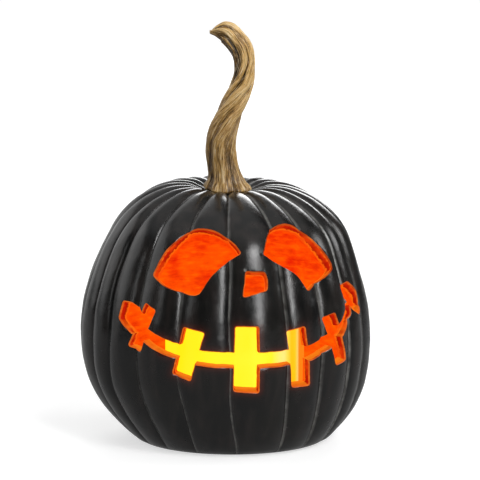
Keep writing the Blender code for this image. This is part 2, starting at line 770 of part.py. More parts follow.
def make_switch():
    low = FLOOR_TOP + GAP
    case = part(
        "switch_case",
        box("switch_case", (BASE_SHIFT - 9.0, SWITCH_Y - 4.5, low), (BASE_SHIFT + 9.0, SWITCH_Y + 4.5, low + 6.4)),
        "black_plastic",
    )
    half_x, half_y = (SWITCH_TRAVEL + KNOB_SIZE) / 2 + GAP, KNOB_SIZE / 2 + GAP
    track = box(
        "switch_track",
        (BASE_SHIFT - half_x, SWITCH_Y - half_y, low - 1.0),
        (BASE_SHIFT + half_x, SWITCH_Y + half_y, low + 3.6),
    )
    boolean(case, tool("switch_track", track))
    half = KNOB_SIZE / 2
    knob = box("switch_knob", (-half, -half, 0.9 - low), (half, half, 3.3))
    part("switch_knob", knob, "black_plastic", (BASE_SHIFT - SWITCH_TRAVEL / 2, SWITCH_Y, low))


def main():
    clear_scene()
    new_collection("pumpkin_figure")
    new_collection("cutters")
    make_shell()
    make_felt_pads()
    make_stem()
    make_dowel()
    make_tray()
    make_gasket()
    make_drum()
    make_battery_door()
    make_hinge_pin()
    make_cells()
    make_screws()
    make_board()
    make_leads()
    make_switch()


main()
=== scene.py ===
"""The looks of the light-up pumpkin figure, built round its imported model.

Lengths are millimetres and angles are degrees; the helpers turn them into Blender's metres.
+Z is up and the face looks along -Y. A face angle is 0 straight ahead of the face and grows towards +X.
"""

import bisect
import functools
import math

import bmesh
import bpy
from mathutils import Matrix, Vector, kdtree, noise


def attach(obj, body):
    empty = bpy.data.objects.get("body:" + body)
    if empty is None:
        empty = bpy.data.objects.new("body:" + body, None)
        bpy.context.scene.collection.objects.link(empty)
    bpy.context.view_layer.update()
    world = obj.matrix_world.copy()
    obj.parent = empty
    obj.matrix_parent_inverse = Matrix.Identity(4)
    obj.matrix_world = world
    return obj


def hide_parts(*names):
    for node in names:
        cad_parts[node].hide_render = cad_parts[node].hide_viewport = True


MM = 0.001
UP = Vector((0.0, 0.0, 1.0))

# Camera, in metres, around a point halfway up the body.
VIEW_CENTRE = Vector((0.0, 0.0, 0.1))
VIEW_TURN = -11.0
VIEW_HEIGHT = 8.0
VIEW_DISTANCE = 1.5
VIEW_RIGHT = 0.0085  # how far the aim is to the right of the centre
VIEW_UP = 0.0425
LENS = 155.25

# Studio light in a dim room: round cards as (face angle, height angle, reach, strength),
# and upright strips as (face angle, half width, lowest height angle, highest height angle, strength).
ROOM_LIGHT = 0.07
BACKDROP = 1.02
CARDS = (
    (-118.0, 26.0, 30.0, 1.1),
    (88.0, 30.0, 17.0, 4.8),
    (10.0, 90.0, 45.0, 0.5),
    (-175.0, 22.0, 42.0, 0.7),
    (160.0, 23.0, 19.0, 4.8),
    (23.0, 46.0, 13.0, 9.0),
)
STRIPS = (
    (18.0, 5.5, 0.0, 50.0, 15.0),
    (-62.0, 5.0, 4.0, 40.0, 2.6),
    (61.0, 3.0, -34.0, 6.0, 2.4),
    (-30.0, 3.0, -34.0, 2.0, 1.8),
)
STRIP_FADE = 12.0
FLOOR_GLOW, FLOOR_FILL = 0.62, 0.22  # the floor's own light, for the camera and for everything else
LAMP_HEIGHT = 0.12
LAMP_POWER = 0.12

# The orange paint, which glows by itself as painted lamplight, as (dark, middle, light), on the openings'
# edges and inside the shell.
RIM_ORANGES = ((0.35, 0.025, 0.002), (0.6, 0.075, 0.005), (0.95, 0.2, 0.02))
INNER_ORANGES = ((0.58, 0.007, 0.001), (0.82, 0.036, 0.001), (0.97, 0.13, 0.001))

# Shell: the turned profile as (radius, height, groove depth), from the foot ring up to the stem's seat.
BODY_PROFILE = (
    (66.3, 1.2, 0.0), (72.3, 4.6, 1.2), (82.3, 14.0, 2.0), (93.2, 27.0, 2.6),
    (100.3, 42.0, 3.0), (104.5, 60.0, 3.4), (105.2, 78.0, 3.6), (102.9, 100.0, 3.6),
    (97.2, 122.0, 3.6), (87.8, 146.0, 3.4), (77.4, 162.0, 3.3), (62.8, 174.5, 3.5),
    (46.0, 181.8, 3.9), (31.5, 183.2, 3.8), (22.5, 180.8, 2.6), (16.0, 178.0, 0.0),
)
FULL_GROOVE = 3.6
ROWS_PER_SPAN = 8
COLUMNS_PER_RIB = 16
WALL = 7.5
LIP = ((53.8, 8.2), (53.8, 4.4), (58.0, 4.4), (58.0, 1.2))  # the bottom opening and the step round it
CEILING_RADIUS, CEILING_HEIGHT = 8.0, 170.2
CEILING_EDGE = 17.0  # the inner side follows the profile out from this radius
DOWEL_HOLE = ((0.0, 190.0), (4.3, 190.0), (4.3, 173.5), (0.0, 173.5))
BASE_SHIFT = 4.7  # the foot ring sits this far towards +X of the body's axis
LEAN_HEIGHT = 60.0  # and the body is back on its axis at this height
SIDE_SWELL = 1.9  # the body is this much fuller towards one side
SWELL_ANGLE = -101.0
SWELL_TOP, SWELL_FADE = 110.0, 50.0  # up to this height, and gone this much further up
FOOT_SWELL = 9.0  # and its foot reaches this much further to the front
FOOT_ANGLE = -11.0
FOOT_SWELL_TOP = 36.0
CROWN_LEAN = 0.1  # how far the crown drops for each millimetre to the front
CROWN_START, CROWN_RISE = 140.0, 46.0
FRONT_CREASES = (-77.5, -64.5, -48.7, -31.0, -11.0, 12.0, 28.5, 46.0, 59.0)
BACK_RIBS = 13
CREASE_STRAY = 0.9

# Face: outlines on the skin as (face angle, height), cut along rays from the heart of the body.
HEART = Vector((0.0, 0.0, 82.0))
MM_PER_DEGREE = 1.75
LEFT_EYE = (
    ((-43.4, 127.9), (-38.6, 145.6), (-29.6, 157.2), (-19.1, 157.8), (-9.1, 150.1), (-5.7, 143.8)),
    ((-5.7, 143.8), (-12.4, 136.9), (-18.4, 128.1), (-22.6, 117.3)),
    ((-22.6, 117.3), (-25.9, 116.2), (-36.3, 120.7), (-43.4, 127.9)),
)
RIGHT_EYE = (
    ((4.8, 142.7), (9.4, 154.8), (18.5, 160.8), (26.8, 157.9), (33.6, 147.1), (38.8, 134.5), (39.0, 129.4)),
    ((39.0, 129.4), (30.4, 122.3), (23.4, 117.0)),
    ((23.4, 117.0), (19.0, 128.1), (10.2, 137.1), (4.8, 142.7)),
)
NOSE = ((-3.4, 131.3), (4.4, 130.4), (5.2, 125.3), (4.5, 119.1), (-5.0, 115.0))
MOUTH_JOINTS = (-55.0, -46.0, -26.0, -4.0, 17.0, 36.0, 48.0)  # the mouth's line is cut span by span
MOUTH_HEIGHT = 72.2
MOUTH_HALF_WIDTH = 4.9
MOUTH_RISE_LEFT = 23.3  # how much higher the mouth line is at 50 degrees than in the middle
MOUTH_RISE_RIGHT = 33.0
TEETH = (
    ((-56.0, 108.5), (-52.0, 108.0), (-45.0, 100.0), (-50.0, 87.0), (-57.0, 97.0)),
    ((-45.0, 108.5), (-40.0, 104.5), (-46.0, 76.0), (-51.5, 79.0)),
    ((-28.0, 94.0), (-20.0, 91.0), (-25.5, 58.0), (-32.5, 62.0)),
    ((-8.3, 95.0), (0.4, 94.5), (0.4, 49.5), (-9.0, 51.0)),
    ((12.5, 90.5), (19.5, 92.7), (21.8, 52.5), (14.5, 52.0)),
    ((29.7, 97.0), (35.5, 99.5), (41.7, 66.0), (35.6, 63.7)),
    ((43.4, 115.5), (49.4, 118.5), (56.0, 110.5), (59.0, 101.0), (54.0, 95.5), (49.4, 99.5)),
)
CORNER_RADIUS = 1.4
OUTLINE_STEP = 1.3
KNIFE_WOBBLE = 0.3
GLAZE, CUT, RIM, INSIDE = range(4)  # the shell's material slots
# A cut's edge as (level over the skin, how far outside the outline, material slot), from the inside out.
CUT_STEPS = (
    (-26.0, 0.0, CUT), (-1.1, 0.0, RIM), (-0.5, 0.3, RIM),
    (-0.1, 0.7, GLAZE), (0.15, 1.0, GLAZE), (12.0, 1.3, GLAZE),
)
GLOW_REACH = 1.6
GLOW_SPAN = (-40.0, 24.0)  # face angles between which the lamp stands behind the mouth
LINE_PAST_CREASE = 0.5  # the thin painted highlight beside each crease
LINE_WIDTH = 0.6

# Stem: the middle line as (sideways, height, radius). Sideways runs towards +X and a little to the front.
STEM_SIDE = Vector((0.98, -0.19, 0.0))
STEM_SPINE = (
    (-0.8, 178.6, 13.0), (-0.8, 180.2, 14.6), (-1.0, 182.4, 14.0), (-1.8, 187.0, 11.9),
    (-3.9, 198.0, 10.9), (-5.2, 210.0, 10.6), (-3.8, 221.0, 10.2), (0.5, 233.0, 9.2),
    (6.2, 246.0, 8.3), (11.0, 258.0, 7.7), (11.8, 268.5, 7.6), (9.8, 279.0, 7.9),
    (5.0, 286.3, 7.9), (-1.0, 291.8, 7.6), (-7.0, 293.2, 5.2), (-12.8, 292.9, 2.0),
)
STEM_TWIST = ((178.0, 0.0), (214.0, 20.0), (232.0, 55.0), (252.0, 120.0), (272.0, 175.0), (300.0, 190.0))
STEM_VALLEYS = (10.0, 62.0, 122.0, 200.0, 290.0)  # directions of the deep grooves at the foot
STEM_SIDES = 160
STEM_STEPS = 12  # rings to a span
STEM_TOES = (-8.0, 35.0, 92.0, 160.0, 196.0, 235.0, 262.0, 300.0, 328.0)
TOE_HEIGHT = 180.8
STEM_FIBRES = ((1.0, 0.55), (0.6, 1.4), (0.4, 2.6))
STEM_FOOT_TOP = 184.0  # up to here the rings lie flat and lean with the crown
STEM_TIP_START = 122.0  # the length of stem below its broken tip
STEM_SHADE_START = 246.0  # painted shade darkens its underside from here up

# Light unit
DRUM_RADIUS = 50.4
DRUM_WALL = 2.4
DRUM_TOP = 91.0
DRUM_LOW = 4.4
DRUM_SCREW_CIRCLE = 45.2
DRUM_SCREW_ANGLES = (90.0, 210.0, 330.0)
GASKET_RADIUS = 53.4
GASKET_HEIGHT = 3.6
CELL_RADIUS = 7.25
CELL_LENGTH = 50.5
CELL_PITCH = 15.2
CELL_HEIGHT = 12.2
COPPER_BAND = 13.0
COIL_TURNS, COIL_POINTS = 2.5, 90
LED_CIRCLE = 13.0
LED_BASE = 26.9
BOARD_SCREW_OFFSET = 15.0
HINGE_Y = 20.5
HINGE_Z = 3.1
PIN_LENGTH = 51.0
PAD_CIRCLE = 62.3
PAD_ANGLES = (45.0, 135.0, 225.0, 315.0)


# Curves and small sums


def cosine(angle):
    return math.cos(math.radians(angle))


def sine(angle):
    return math.sin(math.radians(angle))


def smoothstep(t):
    t = min(max(t, 0.0), 1.0)
    return t * t * (3 - 2 * t)


def blended(before, start, end, after, t):
    """A Catmull-Rom point between start and end."""
    return 0.5 * (
        2 * start
        + (end - before) * t
        + (2 * before - 5 * start + 4 * end - after) * t * t
        + (3 * start - before - 3 * end + after) * t**3
    )


def curve_through(points, steps):
    """Points along a smooth curve through the given ones, steps to a span, with the last one."""
    knots = [Vector(point) for point in points]
    last = knots[-1].copy()
    knots = [2 * knots[0] - knots[1], *knots, 2 * knots[-1] - knots[-2]]
    spans = [knots[i : i + 4] for i in range(len(knots) - 3)]
    return [blended(*span, step / steps) for span in spans for step in range(steps)] + [last]


def heading(points, i):
    """Which way a line of points runs at one of them."""
    return points[min(i + 1, len(points) - 1)] - points[max(i - 1, 0)]


def rough(point, size, seed=0.0):
    """Smooth noise from about -1 to 1 with bumps of the given size."""
    return noise.noise(Vector(point) / size + Vector((seed, seed, seed)))


# Meshes


def placed(name, data):
    obj = bpy.data.objects.new(name, data)
    bpy.context.scene.collection.objects.link(obj)
    return obj


def new_piece(name, mesh, body, material, *replaced):
    """A piece riding on its body, standing for the CAD nodes that it replaces."""
    obj = placed(name, mesh)
    if not mesh.materials:
        mesh.materials.append(material)
    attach(obj, body)
    if replaced:
        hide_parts(*replaced)
    return obj


def store(mesh, name, values, kind="FLOAT", key="value"):
    """Numbers for each point of a mesh, for its materials."""
    attribute = mesh.attributes.new(name, kind, "POINT")
    attribute.data.foreach_set(key, values)


def mesh_from(shape, name):
    mesh = bpy.data.meshes.new(name)
    shape.to_mesh(mesh)
    shape.free()
    return mesh


def loft(name, rings, slots=None):
    """A closed skin through rings of points, with a material slot for each band between rings."""
    shape = bmesh.new()
    rows = [[shape.verts.new(Vector(point) * MM) for point in ring] for ring in rings]
    slots = slots or [0] * (len(rows) - 1)
    for lower, upper, slot in zip(rows, rows[1:], slots):
        for i, vertex in enumerate(lower):
            following = (i + 1) % len(lower)
            face = shape.faces.new((vertex, lower[following], upper[following], upper[i]))
            face.material_index = slot
    caps = [shape.faces.new(rows[0][::-1]), shape.faces.new(rows[-1])]
    caps[0].material_index, caps[1].material_index = slots[0], slots[-1]
    bmesh.ops.triangulate(shape, faces=caps, ngon_method="BEAUTY")
    bmesh.ops.recalc_face_normals(shape, faces=shape.faces)
    return mesh_from(shape, name)


def turned(name, profile, sides, centre=(0.0, 0.0, 0.0), turn=None):
    """A profile of (radius, height) turned round Z; one that starts away from the axis is closed."""
    shape = bmesh.new()
    points = [shape.verts.new(Vector((radius, 0.0, height)) * MM) for radius, height in profile]
    edges = [shape.edges.new(pair) for pair in zip(points, points[1:])]
    if profile[0][0] > 0.0:
        edges.append(shape.edges.new((points[-1], points[0])))
    around_z = {"axis": UP, "cent": (0.0, 0.0, 0.0), "angle": 2 * math.pi}
    bmesh.ops.spin(shape, geom=points + edges, steps=sides, use_merge=True, **around_z)
    bmesh.ops.remove_doubles(shape, verts=shape.verts, dist=0.00001)
    bmesh.ops.recalc_face_normals(shape, faces=shape.faces)
    place = Matrix.Translation(Vector(centre) * MM) @ (turn or Matrix.Identity(4))
    bmesh.ops.transform(shape, matrix=place, verts=shape.verts)
    mesh = mesh_from(shape, name)
    smooth(mesh)
    return mesh


def turned_piece(name, profile, sides, centre, material, *replaced, body="light_unit", turn=None):
    new_piece(name, turned(name, profile, sides, centre, turn), body, material, *replaced)


def smooth(mesh, sharp_angle=35.0):
    mesh.shade_smooth()
    mesh.set_sharp_from_angle(angle=math.radians(sharp_angle))


def cut_by(mesh, cutters):
    """The mesh with every cutter taken out of it; the cut faces keep the cutter's slot numbers."""
    body = placed("uncut", mesh)
    tools = [placed(cutter.name, cutter) for cutter in cutters]
    for tool in tools:
        for material in mesh.materials:
            tool.data.materials.append(material)
        modifier = body.modifiers.new(tool.name, "BOOLEAN")
        modifier.operation = "DIFFERENCE"
        modifier.solver = "MANIFOLD"
        modifier.object = tool
    graph = bpy.context.evaluated_depsgraph_get()
    result = bpy.data.meshes.new_from_object(body.evaluated_get(graph))
    for obj in [body, *tools]:
        bpy.data.objects.remove(obj)
    return result


def wire(name, points, radius, material, replaced):
    """A smooth tube along a curve through the points."""
    curve = bpy.data.curves.new(name, "CURVE")
    curve.dimensions = "3D"
    curve.bevel_depth = radius * MM
    curve.bevel_resolution = 4
    curve.use_fill_caps = True
    spline = curve.splines.new("POLY")
    spline.points.add(len(points) - 1)
    for target, point in zip(spline.points, points):
        target.co = (*(Vector(point) * MM), 1.0)
    spline.use_smooth = True
    new_piece(name, curve, "light_unit", material, replaced)


def softened(node, body, material, width=0.25):
    """A copy of a CAD node with its hard edges rounded a little."""
    shape = bmesh.new()
    shape.from_mesh(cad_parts[node].data)
    bmesh.ops.remove_doubles(shape, verts=shape.verts, dist=0.000005)
    bmesh.ops.dissolve_limit(shape, angle_limit=math.radians(1.0), verts=shape.verts, edges=shape.edges)
    mesh = mesh_from(shape, node + "_soft")
    smooth(mesh)
    obj = new_piece(node + "_soft", mesh, body, material, node)
    bevel = obj.modifiers.new("Edges", "BEVEL")
    bevel.width = width * MM
    bevel.segments = 2
    bevel.limit_method = "ANGLE"
    bevel.angle_limit = math.radians(35.0)
    bevel.harden_normals = True


# Materials


def new_material(name, surface, *settings, **more):
    """A material whose shader gets the inputs that its surface function works out."""
    material = bpy.data.materials.new(name)
    material.use_nodes = True
    tree = material.node_tree
    set_inputs(tree, tree.nodes["Principled BSDF"], surface(tree, *settings, **more))
    return material


def set_inputs(tree, node, inputs):
    """Each input linked to a socket or set to a value; a colour gets its alpha here."""
    for name, value in inputs.items():
        socket = node.inputs[name]
        if isinstance(value, bpy.types.NodeSocket):
            tree.links.new(value, socket)
        elif socket.type == "RGBA":
            socket.default_value = (*value, 1.0)
        else:
            socket.default_value = value


def add(tree, kind, inputs=None, **settings):
    """A shader node with its settings and inputs."""
    node = tree.nodes.new("ShaderNode" + kind)
    for key, value in settings.items():
        setattr(node, key, value)
    set_inputs(tree, node, inputs or {})
    return node


def maths(tree, operation, *values):
    return add(tree, "Math", dict(enumerate(values)), operation=operation).outputs[0]


def stored(tree, name, output="Fac"):
    return add(tree, "Attribute", attribute_name=name).outputs[output]


def upward(tree, vector):
    """The Z part of the object's coordinates or of its normal."""
    return add(tree, "SeparateXYZ", {0: add(tree, "TexCoord").outputs[vector]}).outputs["Z"]


def place_in(tree, stretch=(1.0, 1.0, 1.0)):
    """Object coordinates in metres, squeezed along each axis."""
    where = add(tree, "TexCoord").outputs["Object"]
    return add(tree, "Mapping", {"Vector": where, "Scale": stretch}).outputs["Vector"]


def cloud(tree, size, detail=3.0, roughness=0.5, where=None):
    """Noise with spots of a size in millimetres."""
    where = where or place_in(tree)
    settings = {"Vector": where, "Scale": 1000.0 / size, "Detail": detail, "Roughness": roughness}
    return add(tree, "TexNoise", settings).outputs["Fac"]


def ramp(tree, factor, stops):
    """A colour ramp through (position, colour) stops."""
    node = add(tree, "ValToRGB", {"Fac": factor})
    elements = node.color_ramp.elements
    for element, (position, colour) in zip(elements, stops):
        element.position = position
        element.color = (*colour, 1.0)
    for position, colour in stops[2:]:
        elements.new(position).color = (*colour, 1.0)
    return node.outputs["Color"]


def spread(tree, factor, low, high, start=0.3, end=0.7):
    """A value between start and end stretched to run from low to high."""
    settings = {"Value": factor, "From Min": start, "From Max": end, "To Min": low, "To Max": high}
    return add(tree, "MapRange", settings).outputs["Result"]


def mixed(tree, factor, first, second):
    return add(tree, "Mix", {0: factor, 6: first, 7: second}, data_type="RGBA").outputs[2]


def bumps(tree, *layers):
    """The normal over bumps of (height, depth in millimetres), one over the other."""
    normal = None
    for height, depth in layers:
        inputs = {"Height": height, "Distance": depth * MM, "Strength": 1.0}
        if normal:
            inputs["Normal"] = normal
        normal = add(tree, "Bump", inputs).outputs["Normal"]
    return normal


def black_glaze(tree):
    """Satin black glaze with a brushed grain, a thin painted highlight beside the creases, and a painted
    red glow near the mouth's edges.
    """
    stops = [(0.35, (0.0035, 0.0035, 0.0036)), (0.68, (0.0075, 0.0071, 0.006))]
    colour = ramp(tree, cloud(tree, 34.0), stops)
    strokes = cloud(tree, 8.0, 2.0, where=place_in(tree, (1.0, 1.0, 0.07)))
    colour = mixed(tree, spread(tree, strokes, 0.0, 0.6, 0.42, 0.72), colour, (0.026, 0.02, 0.018))
    # Painted highlight: a thin light line beside each crease, broken up by noise, lightens the glaze there.
    breaks = spread(tree, cloud(tree, 7.0), 0.25, 1.0)
    crease_highlight = maths(tree, "MULTIPLY", stored(tree, "crease_highlight"), breaks)
    grain = cloud(tree, 0.8, 3.0, 0.6, place_in(tree, (1.0, 1.0, 0.45)))
    return {
        "Base Color": mixed(tree, crease_highlight, colour, (0.24, 0.235, 0.22)),
        "Roughness": spread(tree, cloud(tree, 9.0), 0.17, 0.28),
        "Normal": bumps(tree, (cloud(tree, 11.0, 2.0), 0.3), (grain, 0.06)),
        # Painted glow: the glaze gives off a faint red light near the mouth's edges, standing in for the
        # lamp's light spilling over them.
        "Emission Color": (0.07, 0.007, 0.002),
        "Emission Strength": stored(tree, "glow"),
    }


def painted_orange(tree, dark, middle, light, emission):
    """Orange paint brushed on in streaks, glowing by itself as painted lamplight, and lighter further down
    as painted light from the lamp below.
    """
    streaks = cloud(tree, 3.2, 5.0, 0.6, place_in(tree, (0.3, 0.3, 1.0)))
    # Painted lamplight: the paint is lighter lower down, nearer the lamp.
    lower = spread(tree, upward(tree, "Object"), 0.16, -0.08, 0.085, 0.15)
    patches = maths(tree, "ADD", cloud(tree, 18.0), lower)
    fine = ramp(tree, streaks, [(0.34, dark), (0.5, middle), (0.68, light)])
    broad = ramp(tree, patches, [(0.36, dark), (0.66, light)])
    colour = mixed(tree, 0.5, fine, broad)
    return {
        "Base Color": mixed(tree, 0.8, colour, (0.03, 0.001, 0.0)),
        # Painted glow: the paint gives off its own colour as light.
        "Emission Color": colour,
        "Emission Strength": emission,
        "Roughness": 0.42,
        "Specular IOR Level": 0.06,
        "Normal": bumps(tree, (streaks, 0.25)),
    }


def cut_wall(tree):
    """The openings' cut walls: dark red in the middle and bright orange towards both edges, orange as
    painted top light where they face up, and glowing by themselves as painted lamplight.
    """
    streaks = cloud(tree, 3.4, 5.0, 0.65)
    level = maths(tree, "ADD", stored(tree, "depth"), spread(tree, streaks, -0.13, 0.13))
    stops = [
        (0.0, (0.9, 0.16, 0.008)), (0.14, (0.66, 0.035, 0.002)), (0.26, (0.5, 0.012, 0.001)),
        (0.62, (0.36, 0.004, 0.001)), (0.75, (0.95, 0.15, 0.004)), (0.95, (0.88, 0.07, 0.002)),
    ]
    patches = spread(tree, cloud(tree, 11.0, 2.0), 0.0, 0.7, 0.5, 0.64)
    paint = mixed(tree, patches, ramp(tree, level, stops), (0.8, 0.06, 0.003))
    # Painted top light: walls that face up are turned orange.
    painted_top_light = spread(tree, upward(tree, "Normal"), 0.0, 0.9, 0.72, 0.94)
    colour = mixed(tree, painted_top_light, paint, (0.8, 0.2, 0.008))
    return {
        "Base Color": mixed(tree, 0.85, colour, (0.02, 0.001, 0.0)),
        # Painted glow: the walls give off their own colour as light.
        "Emission Color": colour,
        "Emission Strength": 0.95,
        "Roughness": 0.4,
        "Specular IOR Level": 0.06,
        "Normal": bumps(tree, (streaks, 0.3)),
    }


def stem_paint(tree):
    """Tan paint, darker in its grooves and lighter on its ridges, with cream flecks as painted glints, dark
    flecks, darker towards its foot, painted shade under its upper bend, and varnished.
    """
    grain = stored(tree, "grain", "Vector")
    fibres = cloud(tree, 1.0, 4.0, 0.7, grain)
    fine = cloud(tree, 0.5, 3.0, 0.6, grain)
    flecks = cloud(tree, 1.6, 3.0, 0.7)
    height = upward(tree, "Object")
    # The stored ridge level also holds painted shade under the stem's upper bend.
    level = stored(tree, "ridge")
    for layer in (
        spread(tree, fibres, -0.42, 0.36),
        spread(tree, fine, -0.24, 0.24),
        spread(tree, cloud(tree, 12.0), -0.12, 0.14),
        spread(tree, height, -0.12, 0.04, 0.185, 0.25),
    ):
        level = maths(tree, "ADD", level, layer)
    stops = [
        (0.0, (0.03, 0.015, 0.004)), (0.2, (0.17, 0.085, 0.02)), (0.45, (0.5, 0.28, 0.072)),
        (0.72, (0.76, 0.47, 0.155)), (1.0, (0.94, 0.7, 0.36)),
    ]
    paint = ramp(tree, level, stops)
    # Painted glints: sparse cream flecks where the finer fibres peak.
    paint = mixed(tree, spread(tree, fine, 0.0, 0.7, 0.57, 0.66), paint, (0.95, 0.82, 0.6))
    paint = mixed(tree, spread(tree, flecks, 0.75, 0.0, 0.26, 0.4), paint, (0.05, 0.028, 0.011))
    paint = mixed(tree, spread(tree, height, 0.42, 0.0, 0.222, 0.256), paint, (0.13, 0.072, 0.022))
    return {
        "Base Color": paint,
        "Roughness": spread(tree, fibres, 0.24, 0.42),
        "Specular IOR Level": 0.38,
        "Normal": bumps(tree, (fibres, 0.5)),
    }


def drum_cover(tree):
    """The lamp's frosted cover: lit yellow, with a painted cream highlight and painted amber shade towards
    +X, then orange painted like the lit wall behind it.
    """
    where = add(tree, "TexCoord").outputs["Object"]
    axis = (BASE_SHIFT * MM, 0.0, 0.0)
    centred = add(tree, "VectorMath", {0: where, 1: axis}, operation="SUBTRACT").outputs[0]
    parts = add(tree, "SeparateXYZ", {0: centred}).outputs
    ahead = maths(tree, "MULTIPLY", parts["Y"], -1.0)
    angle = maths(tree, "ARCTAN2", parts["X"], ahead)
    yellow = (0.9, 0.93, 0.02)
    # Painted light by angle round the cover: cream painted highlight and amber painted shade from 28 to 52
    # degrees, then orange painted like the lit wall behind it from 55 to 75 degrees.
    stops = [
        (-60.0, (0.93, 0.88, 0.008)), (-20.0, yellow), (20.0, yellow),
        (28.0, (0.96, 0.88, 0.19)), (33.0, (0.97, 0.86, 0.24)), (37.0, (0.97, 0.74, 0.08)),
        (42.0, (0.96, 0.53, 0.004)), (48.0, (0.97, 0.56, 0.01)), (52.0, (0.98, 0.62, 0.15)),
        (55.0, (0.9, 0.19, 0.004)), (75.0, (0.92, 0.13, 0.002)), (120.0, yellow),
    ]
    turn = spread(tree, angle, 0.0, 1.0, -math.pi, math.pi)
    band = ramp(tree, turn, [((degrees + 180) / 360, colour) for degrees, colour in stops])
    mottled = cloud(tree, 14.0, 2.0, where=place_in(tree, (1.0, 1.0, 0.35)))
    colour = mixed(tree, spread(tree, mottled, 0.0, 0.14), band, (0.98, 0.98, 0.08))
    return {
        "Base Color": mixed(tree, 0.7, colour, (0.05, 0.03, 0.001)),
        "Emission Color": colour,
        "Emission Strength": 0.95,
        "Roughness": 0.5,
        "Normal": bumps(tree, (cloud(tree, 1.2, 2.0), 0.03)),
    }


def plastic(tree, colour, roughness=0.45, grain=0.6, depth=0.02, scratch=0.06):
    """Moulded plastic with a fine spark-eroded grain and slight clouding."""
    darker = tuple(channel * (1 - scratch) for channel in colour)
    lighter = tuple(min(channel * (1 + scratch), 1.0) for channel in colour)
    return {
        "Base Color": ramp(tree, cloud(tree, 12.0), [(0.3, darker), (0.7, lighter)]),
        "Roughness": spread(tree, cloud(tree, 5.0), roughness - 0.06, roughness + 0.08),
        "Normal": bumps(tree, (cloud(tree, grain, 2.0), depth)),
    }


def metal(tree, colour, roughness):
    lines = cloud(tree, 0.5, where=place_in(tree, (1.0, 1.0, 0.1)))
    darker = tuple(channel * 0.85 for channel in colour)
    return {
        "Base Color": ramp(tree, cloud(tree, 4.0), [(0.3, darker), (0.7, colour)]),
        "Roughness": spread(tree, lines, roughness - 0.08, roughness + 0.12),
        "Metallic": 1.0,
        "Normal": bumps(tree, (lines, 0.01)),
    }


def felt(tree):
    fuzz = cloud(tree, 0.5, 6.0, 0.75)
    tint = ramp(tree, fuzz, [(0.3, (0.02, 0.02, 0.022)), (0.7, (0.1, 0.1, 0.1))])
    normal = bumps(tree, (fuzz, 0.25))
    return {"Base Color": tint, "Roughness": 1.0, "Sheen Weight": 0.4, "Normal": normal}


def hardwood(tree):
    grain = cloud(tree, 1.2, 5.0, 0.6, place_in(tree, (1.0, 1.0, 0.08)))
    tint = ramp(tree, grain, [(0.3, (0.34, 0.2, 0.09)), (0.7, (0.66, 0.46, 0.25))])
    return {"Base Color": tint, "Roughness": 0.6, "Normal": bumps(tree, (grain, 0.1))}


def circuit_board(tree):
    """Green solder mask with raised copper tracks."""
    settings = {"Vector": place_in(tree), "Scale": 260.0, "Mortar Size": 0.09, "Brick Width": 0.9}
    tracks = add(tree, "TexBrick", settings).outputs["Fac"]
    tint = mixed(tree, tracks, (0.012, 0.13, 0.045), (0.03, 0.26, 0.1))
    stain = mixed(tree, spread(tree, cloud(tree, 7.0), 0.0, 0.3), tint, (0.01, 0.09, 0.035))
    return {"Base Color": stain, "Roughness": 0.32, "Normal": bumps(tree, (tracks, 0.04))}


def cell_wrap(tree):
    """A plain shrink wrap: blue-grey body with a copper band at the plus end."""
    band = stored(tree, "band")
    body = ramp(tree, cloud(tree, 6.0), [(0.3, (0.05, 0.11, 0.24)), (0.7, (0.075, 0.15, 0.31))])
    return {
        "Base Color": mixed(tree, band, body, (0.62, 0.3, 0.13)),
        "Metallic": band,
        "Roughness": spread(tree, cloud(tree, 2.0), 0.24, 0.36),
        "Normal": bumps(tree, (cloud(tree, 3.0), 0.03)),
    }


def led_lens(tree):
    tint = ramp(tree, cloud(tree, 1.5), [(0.3, (1.0, 0.72, 0.32)), (0.7, (1.0, 0.84, 0.5))])
    return {
        "Base Color": tint,
        "Emission Color": tint,
        "Emission Strength": 2.0,
        "Roughness": spread(tree, cloud(tree, 0.8), 0.08, 0.16),
    }


# Shell


def base_offset(height):
    return BASE_SHIFT * (1 - smoothstep(height / LEAN_HEIGHT))


def fullness(angle, height):
    """How much further out than round the body reaches."""
    side = SIDE_SWELL * (1 - smoothstep((height - SWELL_TOP) / SWELL_FADE))
    front = FOOT_SWELL * (1 - smoothstep(height / FOOT_SWELL_TOP))
    return side * cosine(angle - SWELL_ANGLE) + front * max(cosine(angle - FOOT_ANGLE), 0.0)


def crown_lean(y, height):
    return CROWN_LEAN * y * smoothstep((height - CROWN_START) / CROWN_RISE)


def face_point(angle, radius, height):
    reach = radius + fullness(angle, height)
    y = -reach * cosine(angle)
    return Vector((reach * sine(angle) + base_offset(height), y, height + crown_lean(y, height)))


@functools.lru_cache(maxsize=None)
def creases_at(height):
    """The creases' face angles at a height, where each strays a little, with the first again at the end."""
    first, last = FRONT_CREASES[0], FRONT_CREASES[-1]
    spacing = (360 + first - last) / BACK_RIBS
    back = [last + spacing * i for i in range(1, BACK_RIBS)]
    angles = [
        angle + CREASE_STRAY * noise.noise(Vector((7.3 * number, height / 42.0, 0.5)))
        for number, angle in enumerate((*FRONT_CREASES, *back))
    ]
    return angles + [angles[0] + 360]


def groove_share(across):
    """How deep into its groove the skin is, from a crease (across 0 or 1) to the middle of a rib."""
    away = 2 * across - 1
    return 0.78 * away**2 + 0.22 * away**10


def skin_rows():
    """Rows of the outer skin from the foot up: (radius, height, groove depth, outward direction)."""
    knots = curve_through(BODY_PROFILE, ROWS_PER_SPAN)
    rows = []
    for i, (radius, height, groove) in enumerate(knots):
        along = heading(knots, i)
        rows.append((radius, height, groove, Vector((along.y, -along.x)).normalized()))
    return rows


def swell(angle, height):
    """Hand-made unevenness of the skin, in millimetres."""
    place = face_point(angle, 100.0, height)
    return 0.75 * rough(place, 34.0) + 0.22 * rough(place, 12.0, 3.1)


